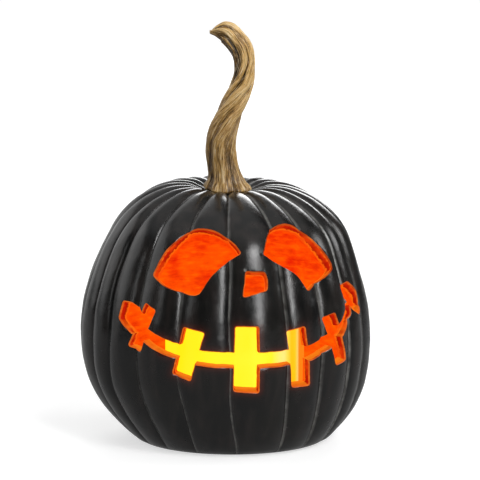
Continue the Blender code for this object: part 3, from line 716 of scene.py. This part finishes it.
def skin_point(row, angle, across):
    """The point of the outer skin at a face angle, for its place across the rib."""
    radius, height, groove, outward = row
    inset = groove * groove_share(across) - swell(angle, height) * min(groove / FULL_GROOVE, 1.0)
    return face_point(angle, radius - outward.x * inset, height - outward.y * inset)


def columns(height):
    """The face angle and the place across its rib of each point round the body at a height."""
    creases = creases_at(height)
    for start, end in zip(creases, creases[1:]):
        for step in range(COLUMNS_PER_RIB):
            across = 0.5 - 0.5 * math.cos(math.pi * step / COLUMNS_PER_RIB)
            yield start + (end - start) * across, across


def skin_ring(row):
    return [skin_point(row, angle, across) for angle, across in columns(row[1])]


def inner_ring(row):
    """The wall's inner side, where the ribs show half as deep and without their creases."""
    radius, height, groove, outward = row
    points = []
    for angle, across in columns(height):
        inset = WALL + 0.5 * groove * (2 * across - 1) ** 2
        inset += 0.5 * rough(face_point(angle, 90.0, height), 17.0, 9.7)
        points.append(face_point(angle, radius - outward.x * inset, height - outward.y * inset))
    return points


def plain_ring(radius, height):
    """A true circle, round the foot's axis low down."""
    middle = base_offset(height)
    angles = [angle for angle, _ in columns(height)]
    return [Vector((radius * sine(angle) + middle, -radius * cosine(angle), height)) for angle in angles]


def rib_at(creases, angle):
    """The number of the rib at a face angle, and the angle past its first crease."""
    if angle < creases[0]:
        angle += 360
    rib = min(bisect.bisect_right(creases, angle) - 1, len(creases) - 2)
    return rib, angle - creases[rib]


def skin_at(rows, angle, level):
    """The point of the outer skin at a face angle, on the row that started out at a level."""
    heights = [row[1] for row in rows]
    index = min(max(bisect.bisect_right(heights, level) - 1, 0), len(rows) - 2)
    low, high = rows[index], rows[index + 1]
    share = (level - low[1]) / (high[1] - low[1])
    row = tuple(a + (b - a) * share for a, b in zip(low, high))
    creases = creases_at(level)
    rib, past = rib_at(creases, angle)
    return skin_point(row, creases[rib] + past, past / (creases[rib + 1] - creases[rib]))


def on_skin(rows, angle, height):
    """The point of the outer skin at a face angle and a height."""
    level = height
    for _ in range(4):
        point = skin_at(rows, angle, level)
        level += height - point.z
    return point


def rounded(outline):
    """An outline in millimetres with its corners rounded."""
    points = []
    for i, corner in enumerate(outline):
        ways = [other - corner for other in (outline[i - 1], outline[(i + 1) % len(outline)])]
        start, end = (corner + way * min(CORNER_RADIUS / way.length, 0.45) for way in ways)
        for step in range(5):
            t = step / 4
            points.append(start * (1 - t) ** 2 + corner * 2 * t * (1 - t) + end * t**2)
    return points


def stepped(outline):
    """An outline with points no further apart than the outline step."""
    points = []
    for start, end in zip(outline, outline[1:] + outline[:1]):
        count = max(math.ceil((end - start).length / OUTLINE_STEP), 1)
        points += [start.lerp(end, step / count) for step in range(count)]
    return points


def anticlockwise(outline):
    area = sum(a.x * b.y - b.x * a.y for a, b in zip(outline, outline[1:] + outline[:1]))
    return outline if area > 0 else outline[::-1]


def face_cutter(name, rows, outline):
    """A cutter whose walls point at the heart, with a broken edge at the skin, and its line on the skin."""
    flat = [Vector((angle * MM_PER_DEGREE, height)) for angle, height in outline]
    flat = stepped(rounded(anticlockwise(flat)))
    line = [on_skin(rows, point.x / MM_PER_DEGREE, point.y) for point in flat]
    rings = [[] for _ in CUT_STEPS]
    slots = [slot for _, _, slot in CUT_STEPS[:-1]]
    for i, point in enumerate(line):
        ray = (point - HEART).normalized()
        along = line[(i + 1) % len(line)] - line[i - 1]
        outside = along.cross(ray).normalized()
        wobble = KNIFE_WOBBLE * rough(point, 5.0, 1.7) + 0.1 * rough(point, 1.8, 4.3)
        for ring, (level, side, _) in zip(rings, CUT_STEPS):
            ring.append(point + ray * level + outside * (side + wobble))
    return loft(name, rings, slots), line


def eye_outline(sides):
    return [point for side in sides for point in curve_through(side, 4)[:-1]]


def mouth_line(angle):
    rise = MOUTH_RISE_LEFT if angle < 0 else MOUTH_RISE_RIGHT
    return MOUTH_HEIGHT + rise * abs(angle / 50) ** 3


def mouth_outline(start, end):
    """One span of the mouth's line."""
    stations = [start + (end - start) * i / 8 for i in range(9)]
    upper = [(angle, mouth_line(angle) + MOUTH_HALF_WIDTH) for angle in stations]
    lower = [(angle, mouth_line(angle) - MOUTH_HALF_WIDTH) for angle in stations]
    return upper + lower[::-1]


def mark_glow(mesh, line):
    """Stores how close each point is to the lit part of the mouth, for a painted glow of its light spilling
    over the glaze at its edges.
    """
    low, high = (100.0 * sine(angle) for angle in GLOW_SPAN)
    points = [point * MM for point in line if low < point.x < high]
    tree = kdtree.KDTree(len(points))
    for i, point in enumerate(points):
        tree.insert(point, i)
    tree.balance()
    store(mesh, "glow", [math.exp(-tree.find(vertex.co)[2] / MM / GLOW_REACH) for vertex in mesh.vertices])


def crease_highlight_at(angle, radius, height):
    """1 on the thin painted highlight beside a crease, falling to 0 away from it."""
    _, past = rib_at(creases_at(round(height)), angle)
    past = math.radians(past) * radius
    return math.exp(-(((past - LINE_PAST_CREASE) / LINE_WIDTH) ** 2))


def mark_skin(mesh, rows):
    """Stores the painted crease highlights, and how deep in the wall each point is, 0 at the skin and 1 at
    the inside.
    """
    heights = [row[1] for row in rows]
    lines, depths = [], []
    for vertex in mesh.vertices:
        x, y, height = vertex.co / MM
        level = height - crown_lean(y, height)
        x -= base_offset(level)
        angle, reach = math.degrees(math.atan2(x, -y)), math.hypot(x, y)
        lines.append(crease_highlight_at(angle, reach, level))
        radius, _, _, outward = rows[min(bisect.bisect_right(heights, level), len(rows) - 1)]
        depths.append((radius + fullness(angle, level) - reach) * outward.x / WALL)
    store(mesh, "crease_highlight", lines)
    store(mesh, "depth", depths)


def uncut_shell(rows):
    """The shell from the middle of its ceiling, down its inner side, round the foot and up its skin."""
    inner = [inner_ring(row) for row in reversed(rows[ROWS_PER_SPAN:]) if row[0] > CEILING_EDGE]
    lip = [plain_ring(radius, height) for radius, height in LIP]
    outer = [skin_ring(row) for row in rows]
    slots = [INSIDE] * len(inner) + [GLAZE] * (len(lip) + len(outer))
    return loft("shell_uncut", [plain_ring(CEILING_RADIUS, CEILING_HEIGHT), *inner, *lip, *outer], slots)


def make_shell(materials):
    """The shell with its face cut out, in its four materials in the order of their slots."""
    rows = skin_rows()
    mesh = uncut_shell(rows)
    for material in materials:
        mesh.materials.append(material)
    outlines = {"left_eye": eye_outline(LEFT_EYE), "right_eye": eye_outline(RIGHT_EYE), "nose": NOSE}
    cutters = [face_cutter(name, rows, outline)[0] for name, outline in outlines.items()]
    spans = [mouth_outline(*ends) for ends in zip(MOUTH_JOINTS, MOUTH_JOINTS[1:])]
    mouth_edge = []
    for number, outline in enumerate((*spans, *TEETH)):
        cutter, line = face_cutter(f"mouth_{number}", rows, outline)
        cutters.append(cutter)
        mouth_edge += line
    cutters.append(turned("dowel_hole", DOWEL_HOLE, 32))
    mesh = cut_by(mesh, cutters)
    mesh.name = "pumpkin_body"
    smooth(mesh, 38.0)
    mark_glow(mesh, mouth_edge)
    mark_skin(mesh, rows)
    new_piece("pumpkin_body", mesh, "pumpkin", materials[GLAZE], "pumpkin_shell")


# Stem


def lobe(angle):
    """0 in the bottom of a groove and 1 on the top of a ridge, for an angle round the stem."""
    angle %= 360
    ends = [STEM_VALLEYS[-1] - 360, *STEM_VALLEYS, STEM_VALLEYS[0] + 360]
    index = bisect.bisect_right(ends, angle) - 1
    across = (angle - ends[index]) / (ends[index + 1] - ends[index])
    return math.sin(math.pi * across) ** 0.7


def toe_reach(angle, height):
    """How far the foot's toes spread over the ribs of the crown."""
    nearest = min(abs((angle - toe + 180) % 360 - 180) for toe in STEM_TOES)
    above = (height - TOE_HEIGHT) / (7.0 if height > TOE_HEIGHT else 3.2)
    return math.exp(-((nearest / 13.0) ** 2)) * math.exp(-(above**2))


def stem_turn(height):
    """How far the stem's lobes have twisted at a height."""
    for (low, start), (high, end) in zip(STEM_TWIST, STEM_TWIST[1:]):
        if height <= high:
            return start + (end - start) * (height - low) / (high - low)
    return STEM_TWIST[-1][1]


def tip_notch(sideways, painted_top_light):
    """How much the upper side of the stem's broken tip is cut away, leaving a beak under it."""
    return 2.9 * smoothstep((-sideways - 3.2) / 2.6) * smoothstep(painted_top_light * 1.4)


def stem_rings():
    """Rings up the stem, each point's ridge level with painted shade under the upper bend, its place in the
    twisted grain, and the middle line.
    """
    knots = curve_through(STEM_SPINE, STEM_STEPS)
    middle = [STEM_SIDE * knot.x + UP * knot.y for knot in knots]
    back = UP.cross(STEM_SIDE).normalized()
    rings, ridge_and_shade_levels, grains = [], [], []
    length = 0.0
    for i, (sideways, height, radius) in enumerate(knots):
        upright = 1 - smoothstep((height - STEM_FOOT_TOP) / 12.0)
        ahead = heading(middle, i).normalized().lerp(UP, upright).normalized()
        side = back.cross(ahead)
        length += (middle[i] - middle[max(i - 1, 0)]).length
        lean = CROWN_LEAN * (1 - smoothstep((height - STEM_FOOT_TOP) / 16.0))
        tip = smoothstep((length - STEM_TIP_START) / 14.0)
        ring = []
        for step in range(STEM_SIDES):
            angle = 360 * step / STEM_SIDES
            own = angle - stem_turn(height)
            grain = Vector((cosine(own) * 10.0, sine(own) * 10.0, length * 0.07))
            ridge = lobe(own)
            fibre = sum(share * noise.noise(grain * scale) for share, scale in STEM_FIBRES)
            away = cosine(angle) * side + sine(angle) * back
            reach = radius * (0.79 + 0.24 * ridge) + 0.6 * fibre * (1 - 0.5 * tip)
            reach += 3.4 * toe_reach(angle, height) - tip_notch(sideways, away.z) * tip
            point = middle[i] + max(reach, 0.7) * away
            ring.append(point + UP * (lean * point.y))
            # Painted shade: the underside of the stem's upper bend is darker.
            under = max(-0.8 * away.x - 0.6 * away.z, 0.0) * smoothstep((height - STEM_SHADE_START) / 20.0)
            ridge_and_shade_levels.append(min(max(0.16 + 0.55 * ridge + 0.4 * fibre - 0.55 * under, 0.0), 1.0))
            grains.append(grain)
        rings.append(ring)
    return rings, ridge_and_shade_levels, grains, middle


def make_stem(material):
    rings, ridge_and_shade_levels, grains, middle = stem_rings()
    centre = middle[-1]
    ahead = (middle[-1] - middle[-4]).normalized()
    for inward, sink in ((0.8, -0.5), (0.5, 0.2)):
        rings.append([centre + (point - centre) * inward - ahead * sink for point in rings[-1]])
        ridge_and_shade_levels += [0.12 + 0.3 * inward] * STEM_SIDES
        grains += grains[-STEM_SIDES:]
    mesh = loft("stem_figure", rings)
    smooth(mesh, 60.0)
    store(mesh, "ridge", ridge_and_shade_levels)
    store(mesh, "grain", [value * MM for point in grains for value in point], "FLOAT_VECTOR", "vector")
    new_piece("stem_figure", mesh, "pumpkin", material, "stem")


# Light unit


def around(angle, radius, height=0.0):
    """A place on a circle round the light unit's axis, 0 degrees towards +X."""
    return BASE_SHIFT + radius * cosine(angle), radius * sine(angle), height


def arc(centre, radius, start, end, steps=6):
    """Points of (radius, height) along an arc, for turned profiles."""
    angles = [start + (end - start) * i / steps for i in range(steps + 1)]
    return [(centre[0] + radius * cosine(angle), centre[1] + radius * sine(angle)) for angle in angles]


def make_drum(material):
    inner = DRUM_RADIUS - DRUM_WALL
    profile = [
        (0.0, DRUM_TOP - 1.0),
        (20.0, DRUM_TOP - 0.9),
        (38.0, DRUM_TOP - 0.6),
        (44.0, DRUM_TOP - 0.1),
        *arc((46.4, DRUM_TOP - 4.0), 4.0, 90.0, 0.0, 8),
        (DRUM_RADIUS, DRUM_LOW + 0.5),
        (DRUM_RADIUS - 0.5, DRUM_LOW),
        (inner, DRUM_LOW),
        (inner, DRUM_TOP - 6.0),
        (45.0, DRUM_TOP - 3.4),
        (0.0, DRUM_TOP - 3.6),
    ]
    turned_piece("drum_cover", profile, 128, around(0.0, 0.0), material, "light_drum")
    tube = [(1.3, 17.5), (3.0, 17.5), (3.4, 17.1), (3.4, DRUM_LOW), (1.3, DRUM_LOW)]
    for number, angle in enumerate(DRUM_SCREW_ANGLES, start=1):
        turned_piece(f"drum_boss_{number}", tube, 32, around(angle, DRUM_SCREW_CIRCLE), material)


def make_gasket(material):
    inner = DRUM_RADIUS + 0.3
    profile = [(inner, DRUM_LOW)]
    for fin in range(3):
        profile += arc((GASKET_RADIUS - 0.6, DRUM_LOW + 0.6 + fin * 1.2), 0.6, -80.0, 80.0)
    profile.append((inner, DRUM_LOW + GASKET_HEIGHT))
    turned_piece("gasket_ring", profile, 128, around(0.0, 0.0), material, "grip_gasket")


def make_cells(wrap, steel):
    half = CELL_LENGTH / 2
    profile = [
        (0.0, half),
        (2.2, half),
        *arc((2.3, half - 0.4), 0.4, 90.0, 0.0, 3),
        (2.7, half - 1.2),
        (6.3, half - 1.25),
        *arc((6.45, half - 2.0), 0.8, 80.0, 0.0, 5),
        (CELL_RADIUS, 1.0 - half),
        *arc((6.45, 0.8 - half), 0.8, 0.0, -80.0, 5),
        (6.0, -half),
        (0.0, -half),
    ]
    for number in (1, 2, 3):
        plus = -1 if number == 2 else 1
        place = (BASE_SHIFT, (number - 2) * CELL_PITCH, CELL_HEIGHT)
        turn = Matrix.Rotation(plus * math.pi / 2, 4, "Y")
        mesh = turned(f"cell_{number}", profile, 64, place, turn)
        ends = [plus * (vertex.co.x / MM - BASE_SHIFT) for vertex in mesh.vertices]
        store(mesh, "band", [1.0 if end > half - COPPER_BAND else 0.0 for end in ends])
        new_piece(f"cell_{number}", mesh, "light_unit", wrap, f"battery_{number}")
        make_contacts(number, place, plus, steel)


def make_contacts(number, place, plus, steel):
    """The plus end's button plate and the minus end's conical spring."""
    half = CELL_LENGTH / 2
    button = [
        (0.0, -half - 0.3),
        *arc((1.5, -half - 0.9), 0.6, 90.0, 0.0, 4),
        (2.4, -half - 3.2),
        (4.2, -half - 3.3),
        (4.2, -half - 3.9),
        (0.0, -half - 3.9),
    ]
    turn = Matrix.Rotation(-plus * math.pi / 2, 4, "Y")
    turned_piece(f"button_{number}", button, 40, place, steel, f"contact_button_{number}", turn=turn)
    points = []
    for i in range(COIL_POINTS + 1):
        share = i / COIL_POINTS
        angle = 360 * COIL_TURNS * share
        radius = 2.0 + 1.4 * share
        away = -plus * (half + 0.75 + 2.8 * share)
        points.append(Vector(place) + Vector((away, radius * cosine(angle), radius * sine(angle))))
    wire(f"coil_{number}", points, 0.35, steel, f"contact_spring_{number}")


def screw_mesh(name, head_top, head_radius, shank_end, centre):
    """A pan-head screw on a vertical axis, with a cross in its head."""
    length = abs(shank_end - head_top)
    profile = [
        (0.0, 0.0),
        (head_radius * 0.55, -0.04),
        *arc((head_radius - 0.6, -0.7), 0.6, 80.0, 0.0, 4),
        (head_radius, -1.3),
        (head_radius - 0.1, -1.4),
        (0.9, -1.4),
    ]
    thread = 1.9
    while thread < length - 1.2:
        profile += [(0.9, -thread), (1.15, -thread - 0.2), (0.9, -thread - 0.4)]
        thread += 0.6
    profile += [(0.9, 0.6 - length), (0.0, -length)]
    screw = turned(name, profile, 40)
    cross = []
    for mark, (half_x, half_y) in {"a": (1.4, 0.26), "b": (0.26, 1.4)}.items():
        shape = bmesh.new()
        size = Matrix.Diagonal((2 * half_x * MM, 2 * half_y * MM, 1.5 * MM, 1.0))
        bmesh.ops.create_cube(shape, size=1.0, matrix=size)
        cross.append(mesh_from(shape, f"{name}_cross_{mark}"))
    screw = cut_by(screw, cross)
    screw.name = name
    flip = Matrix.Rotation(math.pi, 4, "X") if shank_end > head_top else Matrix.Identity(4)
    screw.transform(Matrix.Translation(Vector((*centre[:2], head_top)) * MM) @ flip)
    smooth(screw)
    return screw


def make_screws(steel):
    for number, angle in enumerate(DRUM_SCREW_ANGLES, start=1):
        mesh = screw_mesh(f"base_screw_{number}", 1.5, 2.6, 12.0, around(angle, DRUM_SCREW_CIRCLE))
        new_piece(f"base_screw_{number}", mesh, "light_unit", steel, f"drum_screw_{number}")
    for number, side in enumerate((-1, 1), start=1):
        place = (BASE_SHIFT + side * BOARD_SCREW_OFFSET, 0.0)
        mesh = screw_mesh(f"lamp_screw_{number}", 28.3, 2.3, 22.8, place)
        new_piece(f"lamp_screw_{number}", mesh, "light_unit", steel, f"board_screw_{number}")


def make_leds(lens):
    dome = arc((0.0, 6.0), 2.5, 80.0, 0.0, 9)
    profile = [(0.0, 8.5), *dome, (2.5, 1.0), (2.9, 1.0), (2.9, 0.0), (0.0, 0.0)]
    for number in range(1, 5):
        place = around(90.0 * number - 45.0, LED_CIRCLE, LED_BASE)
        turned_piece(f"lamp_{number}", profile, 40, place, lens, f"led_{number}")


def make_pin(steel):
    half = PIN_LENGTH / 2
    profile = [(0.0, half), (0.6, half), (0.8, half - 0.2), (0.8, 0.2 - half), (0.6, -half), (0.0, -half)]
    turn = Matrix.Rotation(math.pi / 2, 4, "Y")
    place = (BASE_SHIFT, HINGE_Y, HINGE_Z)
    turned_piece("hinge_rod", profile, 32, place, steel, "door_hinge_pin", turn=turn)


def make_pads(material):
    profile = [(0.0, 0.9), (3.2, 0.9), (3.45, 0.7), (3.5, 0.35), (3.3, 0.0), (0.0, 0.0)]
    for number, angle in enumerate(PAD_ANGLES, start=1):
        place = around(angle, PAD_CIRCLE)
        turned_piece(f"pad_{number}", profile, 48, place, material, f"felt_pad_{number}", body="pumpkin")


def paint_node(node, material):
    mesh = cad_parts[node].data
    mesh.materials.clear()
    mesh.materials.append(material)


def make_light_unit():
    ivory = new_material("ivory_plastic", plastic, (0.78, 0.72, 0.58), 0.45)
    black = new_material("black_plastic", plastic, (0.025, 0.025, 0.027), 0.4, scratch=0.2)
    steel = new_material("zinc_steel", metal, (0.68, 0.67, 0.66), 0.28)
    make_drum(new_material("frosted_cover", drum_cover))
    make_gasket(new_material("silicone", plastic, (0.7, 0.7, 0.66), 0.62, 1.5, 0.03))
    make_cells(new_material("cell_wrap", cell_wrap), steel)
    make_screws(steel)
    make_leds(new_material("led_lens", led_lens))
    make_pin(steel)
    softened("base_tray", "light_unit", ivory)
    softened("battery_door", "battery_door", ivory)
    softened("led_board", "light_unit", new_material("board_green", circuit_board), 0.1)
    softened("timer_chip", "light_unit", black, 0.15)
    softened("switch_case", "light_unit", black, 0.3)
    softened("switch_knob", "switch", black, 0.35)
    cord_red = new_material("red_insulation", plastic, (0.6, 0.02, 0.02), 0.35, 0.4, 0.01)
    cord_black = new_material("black_insulation", plastic, (0.02, 0.02, 0.02), 0.35, 0.4, 0.01, 0.2)
    paint_node("red_lead", cord_red)
    paint_node("black_lead", cord_black)
    paint_node("switch_lead", cord_black)


# Stage


def make_camera():
    away = direction(VIEW_TURN, VIEW_HEIGHT)
    right = direction(VIEW_TURN + 90.0, 0.0)
    up = right.cross(-away)
    aim = VIEW_CENTRE + right * VIEW_RIGHT + up * VIEW_UP
    data = bpy.data.cameras.new("camera")
    data.lens = LENS
    camera = placed("camera", data)
    camera.location = VIEW_CENTRE + away * VIEW_DISTANCE
    camera.rotation_euler = (aim - camera.location).to_track_quat("-Z", "Y").to_euler()
    bpy.context.scene.camera = camera


def make_floor():
    shape = bmesh.new()
    bmesh.ops.create_grid(shape, x_segments=1, y_segments=1, size=12.0)
    mesh = mesh_from(shape, "floor")
    mesh.materials.append(new_material("floor_white", floor_white))
    floor = placed("floor", mesh)


def floor_white(tree):
    """Pale, bright for the camera so that only the figure's soft shadow shows, and clear from below."""
    tint = ramp(tree, cloud(tree, 60.0), [(0.3, (0.55, 0.55, 0.55)), (0.7, (0.57, 0.57, 0.57))])
    seen = add(tree, "LightPath").outputs["Is Camera Ray"]
    white = tree.nodes["Principled BSDF"].outputs[0]
    clear = add(tree, "BsdfTransparent").outputs[0]
    below = add(tree, "NewGeometry").outputs["Backfacing"]
    surface = add(tree, "MixShader", {0: below, 1: white, 2: clear}).outputs[0]
    set_inputs(tree, tree.nodes["Material Output"], {"Surface": surface})
    return {
        "Base Color": mixed(tree, seen, (0.14, 0.14, 0.14), tint),
        "Roughness": 0.9,
        "Specular IOR Level": 0.1,
        "Emission Color": (1.0, 1.0, 1.0),
        "Emission Strength": spread(tree, seen, FLOOR_FILL, FLOOR_GLOW, 0.0, 1.0),
    }


def direction(turn, rise):
    """The direction at a face angle and a height angle."""
    return Vector((sine(turn) * cosine(rise), -cosine(turn) * cosine(rise), sine(rise)))


def along(tree, way, axis):
    """How much of the way points along an axis."""
    return add(tree, "VectorMath", {0: way, 1: axis}, operation="DOT_PRODUCT").outputs["Value"]


def soft_step(tree, value, start, end):
    """0 up to start and 1 past end, with a soft change between; end may be the lower one."""
    limits = {"Value": value, "From Min": start, "From Max": end}
    return add(tree, "MapRange", limits, interpolation_type="SMOOTHSTEP").outputs["Result"]


def make_world():
    """White for the camera; for the surfaces, a dim room with soft bright cards around the figure."""
    world = bpy.data.worlds.new("studio")
    world.use_nodes = True
    tree = world.node_tree
    tree.nodes.clear()
    way = add(tree, "TexCoord").outputs["Generated"]
    light = ROOM_LIGHT
    for turn, rise, reach, strength in CARDS:
        close = along(tree, way, direction(turn, rise))
        card = soft_step(tree, close, cosine(reach), cosine(reach * 0.45))
        light = maths(tree, "MULTIPLY_ADD", card, strength, light)
    for turn, width, low, high, strength in STRIPS:
        aside = maths(tree, "ABSOLUTE", along(tree, way, direction(turn + 90.0, 0.0)))
        card = soft_step(tree, aside, sine(width), sine(width * 0.4))
        rise = along(tree, way, UP)
        for start, end in ((low, low + STRIP_FADE), (high, high - STRIP_FADE)):
            card = maths(tree, "MULTIPLY", card, soft_step(tree, rise, sine(start), sine(end)))
        ahead = soft_step(tree, along(tree, way, direction(turn, 0.0)), 0.0, 0.1)
        card = maths(tree, "MULTIPLY", card, ahead)
        light = maths(tree, "MULTIPLY_ADD", card, strength, light)
    seen = add(tree, "LightPath").outputs["Is Camera Ray"]
    strength = add(tree, "Mix", {"Factor": seen, "A": light, "B": BACKDROP}).outputs["Result"]
    back = add(tree, "Background", {"Color": (1.0, 1.0, 1.0), "Strength": strength}).outputs[0]
    add(tree, "OutputWorld", {"Surface": back})
    bpy.context.scene.world = world


def make_lamp():
    """The warm light inside the shell, over the drum."""
    lamp = bpy.data.lights.new("lamp", "POINT")
    lamp.energy = LAMP_POWER
    lamp.color = (1.0, 0.3, 0.04)
    lamp.shadow_soft_size = 0.02
    placed("lamp", lamp).location = (BASE_SHIFT * MM, 0.0, LAMP_HEIGHT)


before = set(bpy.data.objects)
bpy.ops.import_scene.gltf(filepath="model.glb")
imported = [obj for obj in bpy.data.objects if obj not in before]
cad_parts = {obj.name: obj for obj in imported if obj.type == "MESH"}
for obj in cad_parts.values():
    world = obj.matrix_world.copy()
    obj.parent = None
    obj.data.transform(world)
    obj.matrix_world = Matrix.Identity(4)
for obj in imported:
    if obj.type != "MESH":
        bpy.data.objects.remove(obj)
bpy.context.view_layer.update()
make_camera()
make_world()
make_floor()
make_lamp()
make_shell([
    new_material("black_glaze", black_glaze),
    new_material("cut_orange", cut_wall),
    new_material("rim_orange", painted_orange, *RIM_ORANGES, 0.75),
    new_material("inner_orange", painted_orange, *INNER_ORANGES, 0.93),
])
make_stem(new_material("stem_paint", stem_paint))
make_pads(new_material("felt", felt))
paint_node("stem_dowel", new_material("hardwood", hardwood))
make_light_unit()
bpy.context.scene.view_settings.view_transform = "Standard"
